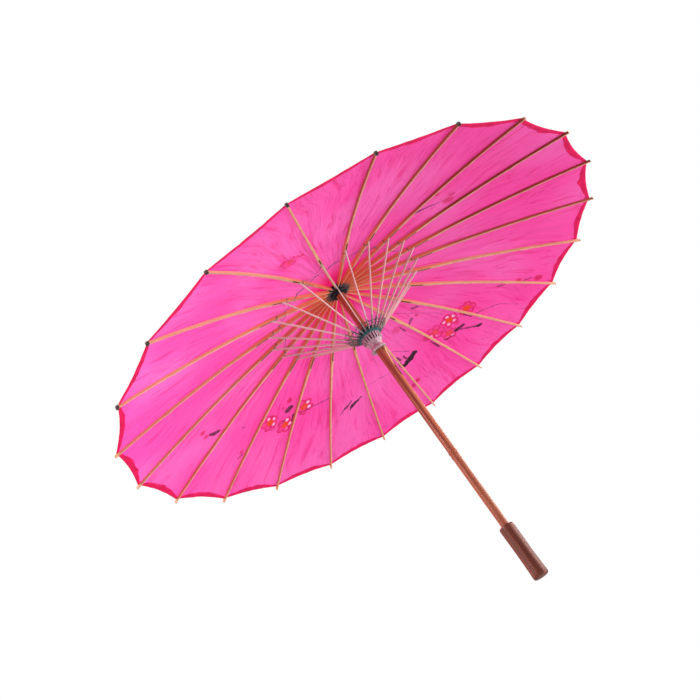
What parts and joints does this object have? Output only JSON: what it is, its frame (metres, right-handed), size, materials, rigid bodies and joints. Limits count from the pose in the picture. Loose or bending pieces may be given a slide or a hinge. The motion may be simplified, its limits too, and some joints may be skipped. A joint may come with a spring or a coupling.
{
  "type": "oil paper umbrella",
  "caption": "Hand-held parasol: pink cloth on bamboo ribs that fold down round a bamboo shaft, with a sliding runner, a sprung catch and a turned grip.",
  "frame": {"origin": "centre of the handle's flat bottom end", "axes": "+Z along the shaft from the handle to the crown; +X and +Y across the open canopy"},
  "size_m": [0.838, 0.8353, 0.568],
  "materials": {
    "shaft_bamboo": "reddish stained bamboo, waxed",
    "handle_wood": "dark red-brown turned wood, satin varnish",
    "turned_wood": "pale turned wood with a pink cast",
    "cap_wood": "dark lacquered turned wood",
    "catch_bamboo": "pale split bamboo",
    "rib_bamboo": "tan split bamboo",
    "stretcher_bamboo": "pale pinkish split bamboo",
    "teal_thread": "teal cotton thread",
    "black_thread": "black cotton thread",
    "pink_cloth": "thin translucent hot-pink cloth with painted blossoms"
  },
  "bodies": {
    "frame": {"shaft": "shaft_bamboo", "handle": "handle_wood", "top_notch": "turned_wood", "notch_thread": "black_thread", "crown_cap": "cap_wood", "canopy": "pink_cloth"},
    "runner": {"runner": "turned_wood", "runner_thread": "teal_thread"},
    "catch": {"catch_tongue": "catch_bamboo"},
    "rib_01": {"rib_01": "rib_bamboo"},
    "rib_02": {"rib_02": "rib_bamboo"},
    "rib_03": {"rib_03": "rib_bamboo"},
    "rib_04": {"rib_04": "rib_bamboo"},
    "rib_05": {"rib_05": "rib_bamboo"},
    "rib_06": {"rib_06": "rib_bamboo"},
    "rib_07": {"rib_07": "rib_bamboo"},
    "rib_08": {"rib_08": "rib_bamboo"},
    "rib_09": {"rib_09": "rib_bamboo"},
    "rib_10": {"rib_10": "rib_bamboo"},
    "rib_11": {"rib_11": "rib_bamboo"},
    "rib_12": {"rib_12": "rib_bamboo"},
    "rib_13": {"rib_13": "rib_bamboo"},
    "rib_14": {"rib_14": "rib_bamboo"},
    "rib_15": {"rib_15": "rib_bamboo"},
    "rib_16": {"rib_16": "rib_bamboo"},
    "rib_17": {"rib_17": "rib_bamboo"},
    "rib_18": {"rib_18": "rib_bamboo"},
    "rib_19": {"rib_19": "rib_bamboo"},
    "rib_20": {"rib_20": "rib_bamboo"},
    "rib_21": {"rib_21": "rib_bamboo"},
    "rib_22": {"rib_22": "rib_bamboo"},
    "stretcher_01": {"stretcher_01": "stretcher_bamboo"},
    "stretcher_02": {"stretcher_02": "stretcher_bamboo"},
    "stretcher_03": {"stretcher_03": "stretcher_bamboo"},
    "stretcher_04": {"stretcher_04": "stretcher_bamboo"},
    "stretcher_05": {"stretcher_05": "stretcher_bamboo"},
    "stretcher_06": {"stretcher_06": "stretcher_bamboo"},
    "stretcher_07": {"stretcher_07": "stretcher_bamboo"},
    "stretcher_08": {"stretcher_08": "stretcher_bamboo"},
    "stretcher_09": {"stretcher_09": "stretcher_bamboo"},
    "stretcher_10": {"stretcher_10": "stretcher_bamboo"},
    "stretcher_11": {"stretcher_11": "stretcher_bamboo"},
    "stretcher_12": {"stretcher_12": "stretcher_bamboo"},
    "stretcher_13": {"stretcher_13": "stretcher_bamboo"},
    "stretcher_14": {"stretcher_14": "stretcher_bamboo"},
    "stretcher_15": {"stretcher_15": "stretcher_bamboo"},
    "stretcher_16": {"stretcher_16": "stretcher_bamboo"},
    "stretcher_17": {"stretcher_17": "stretcher_bamboo"},
    "stretcher_18": {"stretcher_18": "stretcher_bamboo"},
    "stretcher_19": {"stretcher_19": "stretcher_bamboo"},
    "stretcher_20": {"stretcher_20": "stretcher_bamboo"},
    "stretcher_21": {"stretcher_21": "stretcher_bamboo"},
    "stretcher_22": {"stretcher_22": "stretcher_bamboo"}
  },
  "joints": [
    {"name": "runner_slide", "type": "slide", "parent": "frame", "child": "runner", "axis": [0, 0, 1], "range_m": [-0.17183, 0], "deforming": ["canopy", "catch_tongue"]},
    {"name": "rib_01_pivot", "type": "hinge", "parent": "frame", "child": "rib_01", "pos_m": [0.01047, 0.00074, 0.539], "axis": [-0.0705, 0.9975, 0], "range_deg": [0, 74.7]},
    {"name": "rib_02_pivot", "type": "hinge", "parent": "frame", "child": "rib_02", "pos_m": [0.00982, 0.00373, 0.539], "axis": [-0.3551, 0.9348, 0], "range_deg": [0, 74.7]},
    {"name": "rib_03_pivot", "type": "hinge", "parent": "frame", "child": "rib_03", "pos_m": [0.00836, 0.00635, 0.539], "axis": [-0.6045, 0.7966, 0], "range_deg": [0, 74.7]},
    {"name": "rib_04_pivot", "type": "hinge", "parent": "frame", "child": "rib_04", "pos_m": [0.00628, 0.00841, 0.539], "axis": [-0.801, 0.5986, 0], "range_deg": [0, 74.7]},
    {"name": "rib_05_pivot", "type": "hinge", "parent": "frame", "child": "rib_05", "pos_m": [0.00378, 0.0098, 0.539], "axis": [-0.9331, 0.3595, 0], "range_deg": [0, 74.7]},
    {"name": "rib_06_pivot", "type": "hinge", "parent": "frame", "child": "rib_06", "pos_m": [0.00103, 0.01045, 0.539], "axis": [-0.9951, 0.0985, 0], "range_deg": [0, 74.7]},
    {"name": "rib_07_pivot", "type": "hinge", "parent": "frame", "child": "rib_07", "pos_m": [-0.00174, 0.01035, 0.539], "axis": [-0.9861, -0.1661, 0], "range_deg": [0, 74.7]},
    {"name": "rib_08_pivot", "type": "hinge", "parent": "frame", "child": "rib_08", "pos_m": [-0.00438, 0.00954, 0.539], "axis": [-0.9088, -0.4172, 0], "range_deg": [0, 74.7]},
    {"name": "rib_09_pivot", "type": "hinge", "parent": "frame", "child": "rib_09", "pos_m": [-0.00671, 0.00807, 0.539], "axis": [-0.7688, -0.6395, 0], "range_deg": [0, 74.7]},
    {"name": "rib_10_pivot", "type": "hinge", "parent": "frame", "child": "rib_10", "pos_m": [-0.00859, 0.00603, 0.539], "axis": [-0.5745, -0.8185, 0], "range_deg": [0, 74.7]},
    {"name": "rib_11_pivot", "type": "hinge", "parent": "frame", "child": "rib_11", "pos_m": [-0.00989, 0.00354, 0.539], "axis": [-0.3369, -0.9415, 0], "range_deg": [0, 74.7]},
    {"name": "rib_12_pivot", "type": "hinge", "parent": "frame", "child": "rib_12", "pos_m": [-0.01047, 0.00074, 0.539], "axis": [-0.0705, -0.9975, 0], "range_deg": [0, 74.7]},
    {"name": "rib_13_pivot", "type": "hinge", "parent": "frame", "child": "rib_13", "pos_m": [-0.01027, -0.00217, 0.539], "axis": [0.2067, -0.9784, 0], "range_deg": [0, 74.7]},
    {"name": "rib_14_pivot", "type": "hinge", "parent": "frame", "child": "rib_14", "pos_m": [-0.00925, -0.00497, 0.539], "axis": [0.4734, -0.8808, 0], "range_deg": [0, 74.7]},
    {"name": "rib_15_pivot", "type": "hinge", "parent": "frame", "child": "rib_15", "pos_m": [-0.00743, -0.00742, 0.539], "axis": [0.7065, -0.7077, 0], "range_deg": [0, 74.7]},
    {"name": "rib_16_pivot", "type": "hinge", "parent": "frame", "child": "rib_16", "pos_m": [-0.00493, -0.00927, 0.539], "axis": [0.8828, -0.4698, 0], "range_deg": [0, 74.7]},
    {"name": "rib_17_pivot", "type": "hinge", "parent": "frame", "child": "rib_17", "pos_m": [-0.00195, -0.01032, 0.539], "axis": [0.9826, -0.1858, 0], "range_deg": [0, 74.7]},
    {"name": "rib_18_pivot", "type": "hinge", "parent": "frame", "child": "rib_18", "pos_m": [0.00124, -0.01043, 0.539], "axis": [0.993, 0.1185, 0], "range_deg": [0, 74.7]},
    {"name": "rib_19_pivot", "type": "hinge", "parent": "frame", "child": "rib_19", "pos_m": [0.00434, -0.00956, 0.539], "axis": [0.9105, 0.4136, 0], "range_deg": [0, 74.7]},
    {"name": "rib_20_pivot", "type": "hinge", "parent": "frame", "child": "rib_20", "pos_m": [0.00703, -0.00779, 0.539], "axis": [0.7424, 0.67, 0], "range_deg": [0, 74.7]},
    {"name": "rib_21_pivot", "type": "hinge", "parent": "frame", "child": "rib_21", "pos_m": [0.00906, -0.00531, 0.539], "axis": [0.5059, 0.8626, 0], "range_deg": [0, 74.7]},
    {"name": "rib_22_pivot", "type": "hinge", "parent": "frame", "child": "rib_22", "pos_m": [0.01023, -0.00237, 0.539], "axis": [0.2256, 0.9742, 0], "range_deg": [0, 74.7]},
    {"name": "stretcher_01_pin", "type": "hinge", "parent": "rib_01", "child": "stretcher_01", "pos_m": [0.13466, 0.00952, 0.5175], "axis": [-0.0705, 0.9975, 0], "range_deg": [-128.7, 0]},
    {"name": "stretcher_02_pin", "type": "hinge", "parent": "rib_02", "child": "stretcher_02", "pos_m": [0.1262, 0.04794, 0.5175], "axis": [-0.3551, 0.9348, 0], "range_deg": [-128.7, 0]},
    {"name": "stretcher_03_pin", "type": "hinge", "parent": "rib_03", "child": "stretcher_03", "pos_m": [0.10754, 0.08161, 0.5175], "axis": [-0.6045, 0.7966, 0], "range_deg": [-128.7, 0]},
    {"name": "stretcher_04_pin", "type": "hinge", "parent": "rib_04", "child": "stretcher_04", "pos_m": [0.08081, 0.10814, 0.5175], "axis": [-0.801, 0.5986, 0], "range_deg": [-128.7, 0]},
    {"name": "stretcher_05_pin", "type": "hinge", "parent": "rib_05", "child": "stretcher_05", "pos_m": [0.04854, 0.12597, 0.5175], "axis": [-0.9331, 0.3595, 0], "range_deg": [-128.7, 0]},
    {"name": "stretcher_06_pin", "type": "hinge", "parent": "rib_06", "child": "stretcher_06", "pos_m": [0.0133, 0.13434, 0.5175], "axis": [-0.9951, 0.0985, 0], "range_deg": [-128.7, 0]},
    {"name": "stretcher_07_pin", "type": "hinge", "parent": "rib_07", "child": "stretcher_07", "pos_m": [-0.02242, 0.13313, 0.5175], "axis": [-0.9861, -0.1661, 0], "range_deg": [-128.7, 0]},
    {"name": "stretcher_08_pin", "type": "hinge", "parent": "rib_08", "child": "stretcher_08", "pos_m": [-0.05633, 0.12269, 0.5175], "axis": [-0.9088, -0.4172, 0], "range_deg": [-128.7, 0]},
    {"name": "stretcher_09_pin", "type": "hinge", "parent": "rib_09", "child": "stretcher_09", "pos_m": [-0.08633, 0.10379, 0.5175], "axis": [-0.7688, -0.6395, 0], "range_deg": [-128.7, 0]},
    {"name": "stretcher_10_pin", "type": "hinge", "parent": "rib_10", "child": "stretcher_10", "pos_m": [-0.1105, 0.07755, 0.5175], "axis": [-0.5745, -0.8185, 0], "range_deg": [-128.7, 0]},
    {"name": "stretcher_11_pin", "type": "hinge", "parent": "rib_11", "child": "stretcher_11", "pos_m": [-0.12711, 0.04548, 0.5175], "axis": [-0.3369, -0.9415, 0], "range_deg": [-128.7, 0]},
    {"name": "stretcher_12_pin", "type": "hinge", "parent": "rib_12", "child": "stretcher_12", "pos_m": [-0.13466, 0.00952, 0.5175], "axis": [-0.0705, -0.9975, 0], "range_deg": [-128.7, 0]},
    {"name": "stretcher_13_pin", "type": "hinge", "parent": "rib_13", "child": "stretcher_13", "pos_m": [-0.13209, -0.0279, 0.5175], "axis": [0.2067, -0.9784, 0], "range_deg": [-128.7, 0]},
    {"name": "stretcher_14_pin", "type": "hinge", "parent": "rib_14", "child": "stretcher_14", "pos_m": [-0.11891, -0.06391, 0.5175], "axis": [0.4734, -0.8808, 0], "range_deg": [-128.7, 0]},
    {"name": "stretcher_15_pin", "type": "hinge", "parent": "rib_15", "child": "stretcher_15", "pos_m": [-0.09554, -0.09538, 0.5175], "axis": [0.7065, -0.7077, 0], "range_deg": [-128.7, 0]},
    {"name": "stretcher_16_pin", "type": "hinge", "parent": "rib_16", "child": "stretcher_16", "pos_m": [-0.06342, -0.11918, 0.5175], "axis": [0.8828, -0.4698, 0], "range_deg": [-128.7, 0]},
    {"name": "stretcher_17_pin", "type": "hinge", "parent": "rib_17", "child": "stretcher_17", "pos_m": [-0.02509, -0.13265, 0.5175], "axis": [0.9826, -0.1858, 0], "range_deg": [-128.7, 0]},
    {"name": "stretcher_18_pin", "type": "hinge", "parent": "rib_18", "child": "stretcher_18", "pos_m": [0.016, -0.13405, 0.5175], "axis": [0.993, 0.1185, 0], "range_deg": [-128.7, 0]},
    {"name": "stretcher_19_pin", "type": "hinge", "parent": "rib_19", "child": "stretcher_19", "pos_m": [0.05584, -0.12291, 0.5175], "axis": [0.9105, 0.4136, 0], "range_deg": [-128.7, 0]},
    {"name": "stretcher_20_pin", "type": "hinge", "parent": "rib_20", "child": "stretcher_20", "pos_m": [0.09045, -0.10022, 0.5175], "axis": [0.7424, 0.67, 0], "range_deg": [-128.7, 0]},
    {"name": "stretcher_21_pin", "type": "hinge", "parent": "rib_21", "child": "stretcher_21", "pos_m": [0.11645, -0.0683, 0.5175], "axis": [0.5059, 0.8626, 0], "range_deg": [-128.7, 0]},
    {"name": "stretcher_22_pin", "type": "hinge", "parent": "rib_22", "child": "stretcher_22", "pos_m": [0.13152, -0.03046, 0.5175], "axis": [0.2256, 0.9742, 0], "range_deg": [-128.7, 0]},
    {"name": "catch_press", "type": "hinge", "parent": "frame", "child": "catch", "pos_m": [0.00252, 0.00163, 0.368], "axis": [-0.5446, 0.8387, 0], "range_deg": [-5.5, 0], "stiffness_Nm_per_rad": 0.7}
  ],
  "couplings": [
    {"joint": "rib_01_pivot", "follows": "runner_slide", "rad_per_m": -7.5877},
    {"joint": "rib_02_pivot", "follows": "runner_slide", "rad_per_m": -7.5877},
    {"joint": "rib_03_pivot", "follows": "runner_slide", "rad_per_m": -7.5877},
    {"joint": "rib_04_pivot", "follows": "runner_slide", "rad_per_m": -7.5877},
    {"joint": "rib_05_pivot", "follows": "runner_slide", "rad_per_m": -7.5877},
    {"joint": "rib_06_pivot", "follows": "runner_slide", "rad_per_m": -7.5877},
    {"joint": "rib_07_pivot", "follows": "runner_slide", "rad_per_m": -7.5877},
    {"joint": "rib_08_pivot", "follows": "runner_slide", "rad_per_m": -7.5877},
    {"joint": "rib_09_pivot", "follows": "runner_slide", "rad_per_m": -7.5877},
    {"joint": "rib_10_pivot", "follows": "runner_slide", "rad_per_m": -7.5877},
    {"joint": "rib_11_pivot", "follows": "runner_slide", "rad_per_m": -7.5877},
    {"joint": "rib_12_pivot", "follows": "runner_slide", "rad_per_m": -7.5877},
    {"joint": "rib_13_pivot", "follows": "runner_slide", "rad_per_m": -7.5877},
    {"joint": "rib_14_pivot", "follows": "runner_slide", "rad_per_m": -7.5877},
    {"joint": "rib_15_pivot", "follows": "runner_slide", "rad_per_m": -7.5877},
    {"joint": "rib_16_pivot", "follows": "runner_slide", "rad_per_m": -7.5877},
    {"joint": "rib_17_pivot", "follows": "runner_slide", "rad_per_m": -7.5877},
    {"joint": "rib_18_pivot", "follows": "runner_slide", "rad_per_m": -7.5877},
    {"joint": "rib_19_pivot", "follows": "runner_slide", "rad_per_m": -7.5877},
    {"joint": "rib_20_pivot", "follows": "runner_slide", "rad_per_m": -7.5877},
    {"joint": "rib_21_pivot", "follows": "runner_slide", "rad_per_m": -7.5877},
    {"joint": "rib_22_pivot", "follows": "runner_slide", "rad_per_m": -7.5877},
    {"joint": "stretcher_01_pin", "follows": "runner_slide", "rad_per_m": 13.073},
    {"joint": "stretcher_02_pin", "follows": "runner_slide", "rad_per_m": 13.073},
    {"joint": "stretcher_03_pin", "follows": "runner_slide", "rad_per_m": 13.073},
    {"joint": "stretcher_04_pin", "follows": "runner_slide", "rad_per_m": 13.073},
    {"joint": "stretcher_05_pin", "follows": "runner_slide", "rad_per_m": 13.073},
    {"joint": "stretcher_06_pin", "follows": "runner_slide", "rad_per_m": 13.073},
    {"joint": "stretcher_07_pin", "follows": "runner_slide", "rad_per_m": 13.073},
    {"joint": "stretcher_08_pin", "follows": "runner_slide", "rad_per_m": 13.073},
    {"joint": "stretcher_09_pin", "follows": "runner_slide", "rad_per_m": 13.073},
    {"joint": "stretcher_10_pin", "follows": "runner_slide", "rad_per_m": 13.073},
    {"joint": "stretcher_11_pin", "follows": "runner_slide", "rad_per_m": 13.073},
    {"joint": "stretcher_12_pin", "follows": "runner_slide", "rad_per_m": 13.073},
    {"joint": "stretcher_13_pin", "follows": "runner_slide", "rad_per_m": 13.073},
    {"joint": "stretcher_14_pin", "follows": "runner_slide", "rad_per_m": 13.073},
    {"joint": "stretcher_15_pin", "follows": "runner_slide", "rad_per_m": 13.073},
    {"joint": "stretcher_16_pin", "follows": "runner_slide", "rad_per_m": 13.073},
    {"joint": "stretcher_17_pin", "follows": "runner_slide", "rad_per_m": 13.073},
    {"joint": "stretcher_18_pin", "follows": "runner_slide", "rad_per_m": 13.073},
    {"joint": "stretcher_19_pin", "follows": "runner_slide", "rad_per_m": 13.073},
    {"joint": "stretcher_20_pin", "follows": "runner_slide", "rad_per_m": 13.073},
    {"joint": "stretcher_21_pin", "follows": "runner_slide", "rad_per_m": 13.073},
    {"joint": "stretcher_22_pin", "follows": "runner_slide", "rad_per_m": 13.073}
  ]
}
